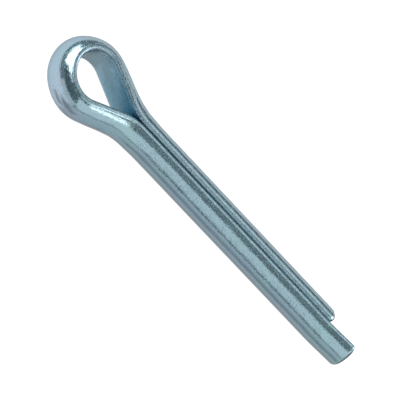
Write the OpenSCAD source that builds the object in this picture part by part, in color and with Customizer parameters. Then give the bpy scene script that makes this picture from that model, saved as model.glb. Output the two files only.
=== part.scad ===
// Cotter pin: one length of half-round wire, folded back on itself so that the
// flat faces of its two legs lie together as a split round shank, with the fold
// opened out into an eye.
//
// The pin lies flat, as it comes to rest. The shank's axis is the X axis: the legs
// start to part at the origin, their tips point to +X and the eye is on the -X side.
// +Z is up. The short leg is on the +Y side and the long leg on the -Y side.

/* [Shank] */
// Diameter of the closed shank, measured over both legs
shank_d = 8.5; // [5:0.1:12]
// Gap between the flat faces of the two legs
leg_gap = 0.2; // [0.1:0.05:0.8]
// Radius of the rounded corners where a leg's flat face meets its round side
corner_r = 0.8; // [0.3:0.05:1.2]
// Length of the short leg, from where the legs part to its tip
short_leg_l = 59.5; // [20:0.5:120]
// How much further the long leg reaches, to give a hold for spreading the legs
prong_l = 8; // [1.5:0.5:16]
// Radius of the rounded outer edge at each tip
tip_r = 1; // [0.3:0.1:1.6]

/* [Eye] */
// Inner radius of the fold, at the flat face of the wire
eye_r = 5.25; // [3.5:0.25:9]
// Angle between the shank and each straight arm of the eye
flare_angle = 25; // [15:1:35]
// Radius of the bend that turns each leg out into the eye, at the flat face
flare_r = 12.2; // [7:0.1:20]

/* [Hidden] */
$fn = 128;
// Lengths of wire are joined at this fraction of full size, where the rounding in a
// slanted one's place is too small to leave a seam
join_scale = 1 / 1000;

shank_r = shank_d / 2;
half_gap = leg_gap / 2;
long_leg_l = short_leg_l + prong_l;
// Half width of the flat face, between its two rounded corners
flat_half_w = sqrt(pow(shank_r - corner_r, 2) - pow(corner_r + half_gap, 2));
// Where the bend out of the shank ends and the straight arm of the eye starts
arm_x = -flare_r * sin(flare_angle);
arm_y = half_gap + flare_r * (1 - cos(flare_angle));
// The arm runs on from there to touch the fold
arm_l = (eye_r * cos(flare_angle) - arm_y) / sin(flare_angle);
// Centre of the fold, on the shank's axis
eye_x = arm_x - arm_l * cos(flare_angle) - eye_r * sin(flare_angle);

// Joins shapes that meet edge to edge or face to face
module joined() {
  scale(1 / join_scale)
    for (i = [0 : $children - 1])
      scale(join_scale)
        children(i);
}

// The wire's section: X is the depth behind the flat face, Y is across the wire.
// The round side is struck from the shank's axis, half a gap in front of the flat.
module wire_section() {
  axis = [-half_gap, 0];
  corner = [corner_r, flat_half_w];
  outside = corner + 2 * (corner - axis);
  joined() {
    intersection() {
      translate(axis) circle(r = shank_r);
      polygon([
        [0, -corner.y], [0, corner.y], corner, outside,
        [4 * shank_r, 0], [outside.x, -outside.y], [corner.x, -corner.y]
      ]);
    }
    for (side = [-1, 1])
      translate([corner.x, side * corner.y]) circle(r = corner_r);
  }
}

// A straight length of wire along +X, with its flat face on Y = 0 and facing -Y
module straight_wire(length) {
  rotate([90, 0, 90]) linear_extrude(length) wire_section();
}

// A bend about the Z axis, with the flat face at the given radius
module bent_wire(radius, from_angle, turn, flat_inside) {
  rotate_extrude(angle = turn, start = from_angle)
    translate([radius, 0])
      mirror([flat_inside ? 0 : 1, 0])
        wire_section();
}

// What the rounded outer edge leaves off a tip
module tip_waste(length) {
  rotate([0, 90, 0])
    rotate_extrude()
      translate([shank_r - tip_r, length - tip_r])
        difference() {
          square(tip_r + 1);
          circle(r = tip_r);
        }
}

// One leg, on the +Y side of the gap
module leg(length) {
  difference() {
    translate([0, half_gap, 0]) straight_wire(length);
    tip_waste(length);
  }
}

// The bend that turns that leg out into the eye
module eye_bend() {
  translate([0, half_gap + flare_r, 0])
    bent_wire(flare_r, -90 - flare_angle, flare_angle, flat_inside = false);
}

// The straight arm of the eye, from that bend to the fold
module eye_arm() {
  translate([arm_x, arm_y, 0])
    rotate([0, 0, -flare_angle])
      translate([-arm_l, 0, 0])
        straight_wire(arm_l);
}

// The fold that joins the two arms, round the head of the eye
module eye_fold() {
  translate([eye_x, 0, 0])
    bent_wire(eye_r, 90 - flare_angle, 180 + 2 * flare_angle, flat_inside = true);
}

module cotter_pin() {
  color("lightsteelblue")
    joined() {
      leg(short_leg_l);
      eye_bend();
      eye_arm();
      eye_fold();
      mirror([0, 1, 0]) eye_arm();
      mirror([0, 1, 0]) eye_bend();
      mirror([0, 1, 0]) leg(long_leg_l);
    }
}

cotter_pin();
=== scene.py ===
"""Visual model of a zinc plated cotter pin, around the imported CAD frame.

One length of half-round wire is folded back on itself: the fold and its two slanted
arms are the eye, and the two legs lie flat side to flat side as a round shank. The wire
is one swept mesh. Its section is worked out station by station, so that it can do what
the CAD solid leaves out: the flat side spreads and curls where the wire is folded, a
fine bead runs along each edge of the round side, the legs close up towards their tips,
and each tip is rounded over a cropped end.

Axes are the frame's: +X to the tips, the eye on -X, the long leg on -Y, +Z up.
Lengths in the wire's own arithmetic are millimetres and are scaled to metres once.
"""

import math

import bmesh
import bpy
from mathutils import Matrix, Vector


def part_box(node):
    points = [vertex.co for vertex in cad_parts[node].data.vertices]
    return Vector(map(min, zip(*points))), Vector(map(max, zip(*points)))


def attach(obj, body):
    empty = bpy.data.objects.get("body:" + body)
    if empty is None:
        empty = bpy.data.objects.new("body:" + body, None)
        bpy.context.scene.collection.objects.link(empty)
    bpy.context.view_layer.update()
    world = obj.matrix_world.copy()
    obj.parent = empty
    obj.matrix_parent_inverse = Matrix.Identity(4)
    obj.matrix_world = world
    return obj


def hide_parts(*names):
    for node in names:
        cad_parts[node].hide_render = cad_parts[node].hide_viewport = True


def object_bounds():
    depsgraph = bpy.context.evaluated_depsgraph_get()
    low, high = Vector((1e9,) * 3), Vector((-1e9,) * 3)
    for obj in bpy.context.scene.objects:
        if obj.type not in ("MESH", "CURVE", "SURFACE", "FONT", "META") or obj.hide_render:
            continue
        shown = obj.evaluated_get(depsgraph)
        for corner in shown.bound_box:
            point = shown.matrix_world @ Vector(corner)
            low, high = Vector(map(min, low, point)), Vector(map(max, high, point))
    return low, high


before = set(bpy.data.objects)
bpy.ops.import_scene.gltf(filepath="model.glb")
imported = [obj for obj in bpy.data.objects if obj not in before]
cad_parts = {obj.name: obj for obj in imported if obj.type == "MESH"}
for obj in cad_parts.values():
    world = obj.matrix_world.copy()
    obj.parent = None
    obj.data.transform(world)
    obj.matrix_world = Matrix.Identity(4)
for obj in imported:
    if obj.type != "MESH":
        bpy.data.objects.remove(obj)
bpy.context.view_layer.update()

MM = 0.001
cad_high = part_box("cotter_pin")[1]

# ---------------------------------------------------------------- driving dimensions, mm
LONG_LEG = cad_high[0] / MM       # root of the shank to the long tip
PRONG = 8.0                       # how far the long leg stands past the short one
SHORT_LEG = LONG_LEG - PRONG
WIRE_D = 4.20                     # flat side to crown
WIRE_R = 4.2                      # radius of the round side, and half the width before rounding
CORNER_R = 0.75                   # rounding between the flat and the round side
EYE_R = 5.25                      # inside radius of the fold
FLARE = math.radians(25.0)        # slant of each arm of the eye
FLARE_R = 12.2                    # flat-side radius of the bend at the root
ROOT_GAP = 0.24                   # between the flats at the root
TIP_GAP = 0.03                    # between the flats at the short tip
TIP_R = 1.50                      # rounding of the tips
TIP_SLANT = 0.25                  # slope of a cropped end back from flat to crown, over WIRE_D
TIP_SHEAR = 0.58                  # slope of the long tip back from its middle to +Z, over WIRE_R
CROP_START = 0.55                 # where on a tip's rounding the cropped steel begins

# How the folded wire differs from the straight wire
SPREAD = 0.055                    # widening of the flat side, of its width
HEAD_CORNER_R = 0.95              # rounding at the fold
CURL_SHORT = 0.60                 # edges of the flat pushed back, on the short leg's arm
CURL_LONG = 0.15                  # the same on the long leg's arm
CURL_HEAD = 0.05                  # the same at the fold
CROWN_STRETCH = 0.30              # thinning of the wire over the fold
SHOULDER_DIP = 0.19               # further thinning either side of the fold's top
SHOULDER_S = 5.2                  # where that is, along the wire from the top
SHOULDER_L = 3.6                  # its reach either way
ARM_SWELL = 0.22                  # thickening of the short leg's arm
ARM_EASE = 4.0                    # length over which that comes and goes
ARM_SWELL_PAST = 1.0              # how far past the root it ends
CROWN_SWELL = 0.38                # thickening inside the bend at the root
SWELL_L = 7.0                     # reach of that thickening either way
PRONG_SET = 0.34                  # how far the prong is set towards the shank's middle
PRONG_EASE = 1.5                  # how far before the short tip that starts
BEAD_H = 0.045                    # fine bead along each edge of the round side
BEAD_W = 0.14                     # half its width, and how far in from the edge it runs

# Where the fold's shape gives way to the straight wire's
HEAD_END = 1.35                   # of the fold's half length
HEAD_EASE = 0.8                   # of the fold's half length
CURL_EASE = 0.7                   # of the fold's half length
ARM_SWELL_START = 0.8             # of the fold's half length
EYE_EASE = 0.45                   # of the length from the top of the fold to the root
MATTE_END = 0.6                   # on the corner, from the flat: where its matte edge fades
MATTE_FADE = 0.3

# ---------------------------------------------------------------- derived lengths, mm
ARM_START_X = -FLARE_R * math.sin(FLARE)
ARM_START_Y = ROOT_GAP / 2 + FLARE_R * (1 - math.cos(FLARE))
ARM_L = (EYE_R * math.cos(FLARE) - ARM_START_Y) / math.sin(FLARE)
EYE_X = ARM_START_X - ARM_L * math.cos(FLARE) - EYE_R * math.sin(FLARE)
FOLD_L = EYE_R * (math.pi / 2 + FLARE)
ARM_END = FOLD_L + ARM_L
ROOT_S = ARM_END + FLARE_R * FLARE
SWELL_S = ROOT_S - FLARE_R * FLARE / 3

# ---------------------------------------------------------------- mesh density
FOLD_STEP = 0.32
LEG_STEP = 0.9
ROUND_STEPS = 76
CORNER_STEPS = 9
FLAT_STEPS = 14
ROUND_BUNCH = 0.7                 # how much closer together the round side's points are at its edges
TIP_RINGS = 9
CAP_RINGS = 8


def ease(t):
    """Smooth step from 0 to 1."""
    t = min(max(t, 0.0), 1.0)
    return t * t * (3 - 2 * t)


def mix(a, b, t):
    return a + (b - a) * t


# ---------------------------------------------------------------- the line of the wire
def flat_line(s):
    """Point and outward normal of the flat's middle line at arc position s.

    s is 0 at the top of the fold, positive along the short leg, negative along the long.
    """
    side = 1.0 if s >= 0 else -1.0
    d = abs(s)
    if d < FOLD_L:
        turn = math.pi - d / EYE_R
        nx, ny = math.cos(turn), math.sin(turn)
        x, y = EYE_X + EYE_R * nx, EYE_R * ny
    elif d < ARM_END:
        back = ARM_END - d
        nx, ny = math.sin(FLARE), math.cos(FLARE)
        x = ARM_START_X - back * math.cos(FLARE)
        y = ARM_START_Y + back * math.sin(FLARE)
    elif d < ROOT_S:
        turn = (ROOT_S - d) / FLARE_R
        nx, ny = math.sin(turn), math.cos(turn)
        x = -FLARE_R * math.sin(turn)
        y = ROOT_GAP / 2 + FLARE_R * (1 - math.cos(turn))
    else:
        nx, ny = 0.0, 1.0
        x = d - ROOT_S
        y = mix(ROOT_GAP, TIP_GAP, min(x / SHORT_LEG, 1.0)) / 2
        y -= PRONG_SET * ease((x - SHORT_LEG + PRONG_EASE) / (PRONG + PRONG_EASE))
    return x, side * y, nx, side * ny


def stations(leg_l):
    """Arc positions from just past the top of the fold to the tip's rounding."""
    found = []
    eye_steps = math.ceil(ROOT_S / FOLD_STEP)
    found += [ROOT_S * i / eye_steps for i in range(1, eye_steps + 1)]
    straight = leg_l - TIP_R
    leg_steps = math.ceil(straight / LEG_STEP)
    found += [ROOT_S + straight * i / leg_steps for i in range(1, leg_steps + 1)]
    return found


# ---------------------------------------------------------------- the wire's section
def head_amount(s):
    """1 over the fold, easing to 0 along the arms."""
    return ease((HEAD_END * FOLD_L - abs(s)) / (HEAD_EASE * FOLD_L))


def eye_amount(s):
    """1 over the fold and the start of the arms, easing to 0 at the root."""
    return ease((ROOT_S - abs(s)) / (EYE_EASE * ROOT_S))


def curl(s):
    """How far the edges of the flat are pushed back at s."""
    arm = CURL_SHORT if s > 0 else CURL_LONG
    over_fold = ease((FOLD_L - abs(s)) / (CURL_EASE * FOLD_L))
    return mix(arm * eye_amount(s), CURL_HEAD, over_fold)


def crown_change(s):
    """Thickness added at the crown: less over the fold, more at the root and on one arm."""
    d = abs(s)
    root = CROWN_SWELL * ease(1 - abs(d - SWELL_S) / SWELL_L)
    shoulder = SHOULDER_DIP * ease(1 - abs(d - SHOULDER_S) / SHOULDER_L)
    arm_start = ease((s - ARM_SWELL_START * FOLD_L) / ARM_EASE)
    arm_end = ease((ROOT_S + ARM_SWELL_PAST - s) / ARM_EASE)
    arm = ARM_SWELL * arm_start * arm_end
    return root + arm - shoulder - CROWN_STRETCH * head_amount(s)


def round_side(corner):
    """Angles round the wire between its two edges, closer together near the edges."""
    edge = math.asin(corner / (WIRE_R - corner))
    angles = []
    for i in range(ROUND_STEPS + 1):
        t = i / ROUND_STEPS
        t -= ROUND_BUNCH * math.sin(2 * math.pi * t) / (2 * math.pi)
        angles.append(mix(edge, math.pi - edge, t))
    return angles


def bead(angle, corner):
    """Height of the fine bead at an angle of the round side."""
    edge = math.asin(corner / (WIRE_R - corner))
    off = WIRE_R * min(angle - edge, math.pi - edge - angle)
    return BEAD_H * math.exp(-((off - BEAD_W) / BEAD_W) ** 2)


def section(s):
    """(across, deep, fillet, flat) for each point round the wire at s."""
    head = head_amount(s)
    corner = mix(CORNER_R, HEAD_CORNER_R, head)
    edge = math.asin(corner / (WIRE_R - corner))
    middle = (WIRE_R - corner) * math.cos(edge)
    points = []
    for side in (1, -1):
        arc = []
        for i in range(CORNER_STEPS):
            t = i / CORNER_STEPS
            turn = mix(-math.pi / 2, edge, t)
            across = side * (middle + corner * math.cos(turn))
            deep = corner * (1 + math.sin(turn))
            arc.append((across, deep, 1 - ease((t - MATTE_END) / MATTE_FADE), 0.0))
        if side == 1:
            points += arc
            for angle in round_side(corner):
                r = WIRE_R + bead(angle, corner)
                points.append((r * math.cos(angle), r * math.sin(angle), 0.0, 0.0))
        else:
            points += arc[::-1]
    for i in range(1, FLAT_STEPS):
        points.append((middle * (2 * i / FLAT_STEPS - 1), 0.0, 0.0, 1.0))
    return [shaped(point, s) for point in points]


def shaped(point, s):
    """A point of the straight wire's section, moved as the fold moves it."""
    across, deep, fillet, flat = point
    low = 1 - min(deep / WIRE_R, 1.0)
    eye = eye_amount(s)
    pushed = curl(s) * (across / WIRE_R) ** 2 * low ** 3
    across *= 1 + SPREAD * eye * low ** 2
    deep = deep * WIRE_D / WIRE_R + pushed + crown_change(s) * (deep / WIRE_R) ** 2
    return across, deep, fillet, flat


# ---------------------------------------------------------------- the mesh
class Wire:
    """Collects rings of points with their attributes, then joins them up."""

    def __init__(self):
        self.bm = bmesh.new()
        layers = self.bm.verts.layers
        self.place = layers.float_vector.new("wire")
        self.fillet = layers.float.new("fillet")
        self.flat = layers.float.new("flat")
        self.cut = layers.float.new("cut")

    def point(self, co, place, fillet, flat, cut):
        vert = self.bm.verts.new(Vector(co) * MM)
        vert[self.place] = place
        vert[self.fillet] = fillet
        vert[self.flat] = flat
        vert[self.cut] = cut
        return vert

    def ring(self, s, ahead=0.0, shrink=0.0, cut=0.0, shear=0.0):
        """One ring at s. Past the last station it moves ahead along X, drawn in by shrink."""
        x, y, nx, ny = flat_line(s)
        half_d = WIRE_D / 2
        done = ahead / TIP_R
        verts = []
        for across, deep, fillet, flat in section(s):
            a = across * (1 - shrink / WIRE_R)
            h = half_d + (deep - half_d) * (1 - shrink / half_d)
            lean = done * (TIP_SLANT * h / WIRE_D + shear * a / WIRE_R)
            co = (x + nx * h + ahead - lean, y + ny * h, a)
            mask = 1 - cut
            verts.append(self.point(co, (s + ahead, a, h), fillet * mask, flat * mask, cut))
        return verts

    def bridge(self, first, second):
        count = len(first)
        for i in range(count):
            j = (i + 1) % count
            self.bm.faces.new((first[i], first[j], second[j], second[i]))

    def cap(self, ring, centre):
        count = len(ring)
        for i in range(count):
            self.bm.faces.new((ring[i], ring[(i + 1) % count], centre))


def tip_rings(wire, leg_l, side):
    """The rounding at a tip, as rings that close in on its cropped face."""
    s = side * (ROOT_S + leg_l - TIP_R)
    shear = TIP_SHEAR if side < 0 else 0.0
    rings = []
    for i in range(1, TIP_RINGS + 1):
        turn = math.pi / 2 * i / TIP_RINGS
        ahead = TIP_R * math.sin(turn)
        shrink = TIP_R * (1 - math.cos(turn))
        cut = ease((i / TIP_RINGS - CROP_START) / (1 - CROP_START))
        rings.append(wire.ring(s, ahead, shrink, cut, shear))
    return rings, s


def cropped_face(wire, last, s):
    """Closes a tip with smaller copies of its last ring and a point in the middle."""
    middle = Vector((0, 0, 0))
    for vert in last:
        middle += vert.co / len(last)
    previous = last
    for i in range(1, CAP_RINGS):
        t = i / CAP_RINGS
        ring = []
        for vert in last:
            co = vert.co.lerp(middle, t) / MM
            ring.append(wire.point(co, vert[wire.place], 0.0, 0.0, 1.0))
        wire.bridge(previous, ring)
        previous = ring
    centre = wire.point(middle / MM, (abs(s), 0.0, WIRE_D / 2), 0.0, 0.0, 1.0)
    wire.cap(previous, centre)


def swept_wire():
    """The whole pin as one closed mesh."""
    wire = Wire()
    first = wire.ring(0.0)
    for side, leg_l in ((1, SHORT_LEG), (-1, LONG_LEG)):
        previous = first
        for d in stations(leg_l):
            ring = wire.ring(side * d)
            wire.bridge(previous, ring)
            previous = ring
        rounded, s = tip_rings(wire, leg_l, side)
        for ring in rounded:
            wire.bridge(previous, ring)
            previous = ring
        cropped_face(wire, previous, s)
    bmesh.ops.recalc_face_normals(wire.bm, faces=wire.bm.faces[:])
    mesh = bpy.data.meshes.new("cotter_pin_wire")
    wire.bm.to_mesh(mesh)
    wire.bm.free()
    for face in mesh.polygons:
        face.use_smooth = True
    return mesh


# ---------------------------------------------------------------- node helpers
class Nodes:
    """Adds nodes to one tree with short calls."""

    def __init__(self, tree):
        self.tree = tree
        tree.nodes.clear()

    def add(self, kind, inputs=None, **settings):
        node = self.tree.nodes.new(kind)
        for name, value in settings.items():
            setattr(node, name, value)
        for key, value in (inputs or {}).items():
            self.put(node.inputs[key], value)
        return node

    def put(self, socket, value):
        if isinstance(value, bpy.types.NodeSocket):
            self.tree.links.new(value, socket)
        else:
            socket.default_value = value

    def math(self, operation, a, b=0.0):
        return self.add("ShaderNodeMath", {0: a, 1: b}, operation=operation).outputs[0]

    def ramp(self, value, low, high, to_low=0.0, to_high=1.0):
        """Smooth step of value from low..high to to_low..to_high."""
        inputs = {"Value": value, "From Min": low, "From Max": high}
        inputs.update({"To Min": to_low, "To Max": to_high})
        node = self.add("ShaderNodeMapRange", inputs, interpolation_type="SMOOTHSTEP")
        return node.outputs["Result"]

    def blend(self, factor, a, b):
        node = self.add("ShaderNodeMix", data_type="RGBA")
        self.put(node.inputs["Factor"], factor)
        self.put(node.inputs[6], a)
        self.put(node.inputs[7], b)
        return node.outputs[2]

    def noise(self, vector, scale, detail=2.0, roughness=0.5):
        inputs = {"Vector": vector, "Scale": scale, "Detail": detail, "Roughness": roughness}
        return self.add("ShaderNodeTexNoise", inputs).outputs["Fac"]

    def attribute(self, name, output="Fac"):
        node = self.add("ShaderNodeAttribute", attribute_name=name, attribute_type="GEOMETRY")
        return node.outputs[output]

    def bump(self, height, distance, normal=None):
        node = self.add("ShaderNodeBump", {"Height": height, "Distance": distance})
        if normal is not None:
            self.put(node.inputs["Normal"], normal)
        return node.outputs["Normal"]


# ---------------------------------------------------------------- zinc plate
ZINC = (0.39, 0.575, 0.66, 1)
ZINC_GREEN = (0.385, 0.595, 0.645, 1)
ZINC_LILAC = (0.43, 0.565, 0.67, 1)
ZINC_DULL = (0.36, 0.50, 0.57, 1)
# Painted shade on the flat, deep towards the root and light near the fold
ZINC_FLAT_DEEP_SHADE = (0.21, 0.40, 0.50, 1)
ZINC_FLAT_LIGHT_SHADE = (0.35, 0.53, 0.61, 1)
CUT_STEEL = (0.20, 0.19, 0.18, 1)
ZINC_EDGE_TINT = (0.62, 0.60, 0.63, 1)     # of the reflections at a glancing angle

# How fine each pattern is, in cycles per mm of wire
DRIFT_SCALE = 0.11                # slow drift of the colour
WAVE_SCALE = 0.35                 # slow waviness of the surface
PEEL_SCALE = 2.8                  # orange peel
STREAK_SCALE = 3.0                # drawing lines, across the wire
STREAK_STRETCH = (0.05, 1.0, 1.0)  # and how much slower they change along it
GRAIN_SCALE = 3.0                 # grain of the matte edges
CRYSTAL_SCALE = 4.4               # matte crystals of the plating

# How high each pattern stands, in metres
WAVE_H = 0.00006
PEEL_H = 0.000022
STREAK_H = 0.000008
GRAIN_H = 0.00006

# Roughness, and what each kind of surface adds to it
GLOSS_LOW = 0.08
GLOSS_HIGH = 0.12
CRYSTAL_MATTE = 0.32
EDGE_MATTE_LOW = 0.10
EDGE_MATTE_HIGH = 0.26
FLAT_MATTE = 0.18
CUT_MATTE = 0.25

# How much of a cropped end is bare steel, and how much grainier it is than the edges
CUT_BARE = 0.7
CUT_GRAIN = 2.0

# Where along the wire, in mm from the top of the fold, the painted shade on the flat goes from light
# to deep
FLAT_HEAD_END = 5.0
FLAT_ARM_START = 16.0


def zinc_colour(n, place, fillet, flat, cut, grain):
    """Blue passivated zinc: a slow drift of green and lilac, duller where it is matte; on the flat,
    painted shade, light near the fold and deep towards the root.
    """
    slow = n.noise(place, DRIFT_SCALE, 1.0)
    colour = n.blend(n.ramp(slow, 0.50, 0.72), ZINC, ZINC_GREEN)
    colour = n.blend(n.ramp(slow, 0.46, 0.26), colour, ZINC_LILAC)
    colour = n.blend(n.math("MULTIPLY", fillet, n.ramp(grain, 0.35, 0.65)), colour, ZINC_DULL)
    # Painted shade on the flat: light near the fold, deepening towards the root
    along = n.math("ABSOLUTE", n.add("ShaderNodeSeparateXYZ", {0: place}).outputs[0])
    near_fold = n.ramp(along, FLAT_ARM_START, FLAT_HEAD_END)
    satin = n.blend(near_fold, ZINC_FLAT_DEEP_SHADE, ZINC_FLAT_LIGHT_SHADE)
    colour = n.blend(flat, colour, satin)
    return n.blend(n.math("MULTIPLY", cut, CUT_BARE), colour, CUT_STEEL)


def zinc_roughness(n, place, streaks, fillet, flat, cut, grain):
    """Glossy, with small matte crystals everywhere; matte along the edges, satin on the flat."""
    gloss = n.ramp(streaks, 0.3, 0.7, GLOSS_LOW, GLOSS_HIGH)
    crystals = n.ramp(n.noise(place, CRYSTAL_SCALE, 1.0), 0.48, 0.70, 0.0, CRYSTAL_MATTE)
    edges = n.ramp(grain, 0.3, 0.7, EDGE_MATTE_LOW, EDGE_MATTE_HIGH)
    matte = n.math("MULTIPLY", fillet, edges)
    satin = n.math("MULTIPLY", flat, FLAT_MATTE)
    cropped = n.math("MULTIPLY", cut, CUT_MATTE)
    bright = n.math("ADD", gloss, crystals)
    return n.math("ADD", n.math("ADD", bright, matte), n.math("ADD", satin, cropped))


def zinc_relief(n, place, streaks, fillet, cut, grain):
    """Slow waviness, orange peel, drawing lines and the grain of the edges."""
    waves = n.noise(place, WAVE_SCALE, 1.0)
    peel = n.noise(place, PEEL_SCALE, 1.0)
    normal = n.bump(waves, WAVE_H)
    normal = n.bump(peel, PEEL_H, normal)
    normal = n.bump(streaks, STREAK_H, normal)
    rough = n.math("ADD", fillet, n.math("MULTIPLY", cut, CUT_GRAIN))
    height = n.math("MULTIPLY", grain, rough)
    return n.bump(height, GRAIN_H, normal)


def zinc_material():
    material = bpy.data.materials.new("zinc_plate_blue")
    material.use_nodes = True
    n = Nodes(material.node_tree)
    place = n.attribute("wire", "Vector")
    fillet = n.attribute("fillet")
    flat = n.attribute("flat")
    cut = n.attribute("cut")
    drawn = n.add("ShaderNodeVectorMath", {0: place, 1: STREAK_STRETCH}, operation="MULTIPLY")
    streaks = n.noise(drawn.outputs[0], STREAK_SCALE, 3.0)
    grain = n.noise(place, GRAIN_SCALE, 1.0, 0.6)
    shader = n.add("ShaderNodeBsdfPrincipled")
    shader.inputs["Metallic"].default_value = 1.0
    shader.inputs["Specular Tint"].default_value = ZINC_EDGE_TINT
    n.put(shader.inputs["Base Color"], zinc_colour(n, place, fillet, flat, cut, grain))
    n.put(shader.inputs["Roughness"], zinc_roughness(n, place, streaks, fillet, flat, cut, grain))
    n.put(shader.inputs["Normal"], zinc_relief(n, place, streaks, fillet, cut, grain))
    n.add("ShaderNodeOutputMaterial", {"Surface": shader.outputs[0]})
    return material


# ---------------------------------------------------------------- studio
FLOOR_R = 2.5                     # metres
FLOOR_SIDES = 96
FLOOR_DROP = 0.02                 # under the pin's lowest point, mm
FLOOR_GREY = (0.30, 0.30, 0.30, 1)
FLOOR_GLOW = 0.93                 # of the floor's own light, so that it is as pale as the backdrop
PALE = (1.0, 1.0, 1.0, 1)         # the floor's glow, and the backdrop that the camera sees

# The studio as the pin sees it: its light above and below the horizon, and soft patches.
# Of each patch: azimuth and elevation of its middle, half width, half height and softness
# of its edge, all in degrees, and its light. A later patch lies over an earlier one.
HORIZON = 0.05                    # half height of the blend between above and below
STUDIO_ABOVE = (0.43, 0.43, 0.43, 1)
STUDIO_BELOW = (0.98, 0.93, 0.95, 1)
STUDIO = (
    ("left_low", -108, 12, 33, 13, 5, (0.72, 0.69, 0.68, 1)),
    ("dark_wall", -126, 43, 55, 19, 6, (0.11, 0.135, 0.145, 1)),
    ("dark_wall_top", -95, 64, 32, 8, 5, (0.16, 0.195, 0.20, 1)),
    ("dark_band", 150, 11, 72, 11, 4, (0.22, 0.26, 0.27, 1)),
    ("dark_right", 97, 28, 18, 10, 4, (0.20, 0.21, 0.21, 1)),
    ("dark_far", 76, 42, 11, 20, 5, (0.24, 0.26, 0.26, 1)),
    ("dark_top", -28, 66, 36, 7, 2, (0.21, 0.235, 0.24, 1)),
    ("side_panel", -45, 33, 27, 23, 2.5, (0.87, 0.86, 0.86, 1)),
    ("panel_edge", -72, 8, 4, 7, 3, (0.15, 0.17, 0.18, 1)),
    ("right_low", 76, -15, 24, 15, 5, (0.98, 0.91, 0.87, 1)),
    ("right_line", 74, 14, 7, 6, 2, (0.14, 0.15, 0.15, 1)),
    ("arm_line", 55, 6, 11, 6, 2, (0.05, 0.06, 0.06, 1)),
    ("arm_glint", 57, 23, 9, 5, 2, (0.80, 0.80, 0.80, 1)),
    ("below_front", -45, -26, 45, 24, 4, (0.60, 0.60, 0.62, 1)),
    ("below_line", -62, -30, 9, 9, 4, (0.36, 0.335, 0.35, 1)),
    ("front_low", 17, -18, 36, 30, 6, (0.26, 0.24, 0.23, 1)),
    ("below_tip", -30, -62, 45, 13, 8, (0.64, 0.56, 0.53, 1)),
    ("below_shade", -88, -26, 17, 10, 12, (0.27, 0.24, 0.27, 1)),
    ("below_arm", -104, -52, 18, 8, 5, (0.42, 0.40, 0.40, 1)),
    ("main_box", 151, 42, 27, 20, 5, (3.5, 3.4, 3.4, 1)),
    ("main_box_side", 168, 61, 27, 9, 5, (3.2, 3.1, 3.1, 1)),
    ("main_box_top", 180, 76, 40, 9, 6, (2.5, 2.4, 2.4, 1)),
    ("dark_top_low", -34, 56, 13, 7, 3, (0.16, 0.18, 0.185, 1)),
    ("end_shade", 5, 56, 15, 4, 3, (0.30, 0.30, 0.30, 1)),
    ("end_box", -19, 43, 9, 6, 4, (2.5, 2.3, 2.2, 1)),
    ("far_box", 101, 49, 12, 7, 4, (2.6, 2.6, 2.6, 1)),
    ("near_box", 54, 52, 7, 5, 4, (1.2, 1.2, 1.2, 1)),
    ("front_box", 27, 24, 18, 22, 5, (2.6, 2.5, 2.5, 1)),
)


def patch_mask(n, azimuth, elevation, patch):
    """1 inside a soft-edged patch of the studio, 0 outside."""
    _name, middle_az, middle_el, half_w, half_h, soft, _light = patch
    turned = n.math("SUBTRACT", azimuth, math.radians(middle_az))
    wrapped = n.add("ShaderNodeMath", {0: turned, 1: math.pi, 2: -math.pi}, operation="WRAP")
    across = n.math("ABSOLUTE", wrapped.outputs[0])
    along = n.math("ABSOLUTE", n.math("SUBTRACT", elevation, math.radians(middle_el)))
    masks = []
    for away, half in ((across, half_w), (along, half_h)):
        masks.append(n.ramp(away, math.radians(half + soft), math.radians(half - soft)))
    return n.math("MULTIPLY", masks[0], masks[1])


def studio_world():
    """The studio's patches, which light the pin; the camera sees a pale backdrop instead."""
    world = bpy.data.worlds.new("studio")
    world.use_nodes = True
    n = Nodes(world.node_tree)
    direction = n.add("ShaderNodeTexCoord").outputs["Generated"]
    x, y, z = n.add("ShaderNodeSeparateXYZ", {0: direction}).outputs
    azimuth = n.math("ARCTAN2", y, x)
    elevation = n.math("ARCSINE", z)
    colour = n.blend(n.ramp(z, -HORIZON, HORIZON), STUDIO_BELOW, STUDIO_ABOVE)
    for patch in STUDIO:
        colour = n.blend(patch_mask(n, azimuth, elevation, patch), colour, patch[-1])
    seen = n.add("ShaderNodeLightPath").outputs["Is Camera Ray"]
    colour = n.blend(seen, colour, PALE)
    background = n.add("ShaderNodeBackground", {"Color": colour, "Strength": 1.0})
    n.add("ShaderNodeOutputWorld", {"Surface": background.outputs[0]})
    bpy.context.scene.world = world


def floor_material():
    material = bpy.data.materials.new("pale_floor")
    material.use_nodes = True
    n = Nodes(material.node_tree)
    shader = n.add("ShaderNodeBsdfPrincipled")
    shader.inputs["Base Color"].default_value = FLOOR_GREY
    shader.inputs["Roughness"].default_value = 0.9
    shader.inputs["Specular IOR Level"].default_value = 0.0
    shader.inputs["Emission Color"].default_value = PALE
    shader.inputs["Emission Strength"].default_value = FLOOR_GLOW
    n.add("ShaderNodeOutputMaterial", {"Surface": shader.outputs[0]})
    return material


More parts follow.
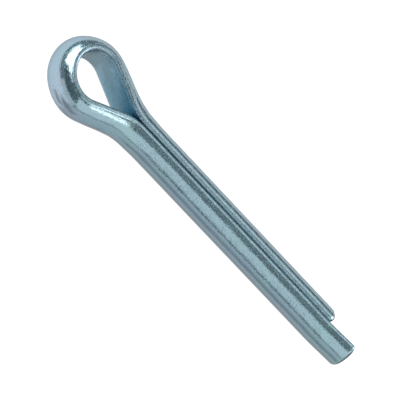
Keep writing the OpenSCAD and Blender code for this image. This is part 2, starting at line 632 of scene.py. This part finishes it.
def studio_floor():
    """A pale disc that the pin lies on. The pin mirrors the studio's patches instead of it."""
    mesh = bpy.data.meshes.new("floor")
    bm = bmesh.new()
    bmesh.ops.create_circle(bm, cap_ends=True, segments=FLOOR_SIDES, radius=FLOOR_R)
    bm.to_mesh(mesh)
    bm.free()
    mesh.materials.append(floor_material())
    floor = bpy.data.objects.new("floor", mesh)
    floor.location.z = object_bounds()[0][2] - FLOOR_DROP * MM
    floor.visible_glossy = False
    bpy.context.scene.collection.objects.link(floor)


# ---------------------------------------------------------------- camera
CAMERA_AZIMUTH = -122.279         # of the camera as the pin sees it, degrees
CAMERA_ELEVATION = 51.730
CAMERA_ROLL = 72.98               # of the picture's right towards the frame's up, degrees
CAMERA_DISTANCE = 3900.0          # mm, as the next three are
CAMERA_TARGET = (18.66, -3.83, 5.31)
VIEW_WIDTH = 82.0                 # of the picture, at the target
SENSOR = 36.0


def camera_axes():
    """Unit vectors from the pin to the camera, level across that, and square to both."""
    az = math.radians(CAMERA_AZIMUTH)
    el = math.radians(CAMERA_ELEVATION)
    towards = Vector((math.cos(el) * math.cos(az), math.cos(el) * math.sin(az), math.sin(el)))
    level = Vector((-math.sin(az), math.cos(az), 0.0))
    return towards, level, towards.cross(level)


def add_camera():
    """A long lens at the photograph's angle, rolled so that the pin runs down to the right."""
    towards, level, rise = camera_axes()
    roll = math.radians(CAMERA_ROLL)
    right = level * math.cos(roll) + rise * math.sin(roll)
    up = towards.cross(right)
    camera = bpy.data.cameras.new("camera")
    camera.sensor_width = SENSOR
    camera.lens = SENSOR * CAMERA_DISTANCE / VIEW_WIDTH
    holder = bpy.data.objects.new("camera", camera)
    spot = (Vector(CAMERA_TARGET) + towards * CAMERA_DISTANCE) * MM
    turn = Matrix((right, up, towards)).transposed()
    holder.matrix_world = Matrix.Translation(spot) @ turn.to_4x4()
    bpy.context.scene.collection.objects.link(holder)
    bpy.context.scene.camera = holder


# ---------------------------------------------------------------- build
def build_pin():
    mesh = swept_wire()
    mesh.materials.append(zinc_material())
    pin = bpy.data.objects.new("cotter_pin_wire", mesh)
    bpy.context.scene.collection.objects.link(pin)
    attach(pin, "root")
    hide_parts("cotter_pin")


build_pin()
studio_floor()
studio_world()
add_camera()
bpy.context.scene.view_settings.view_transform = "Standard"
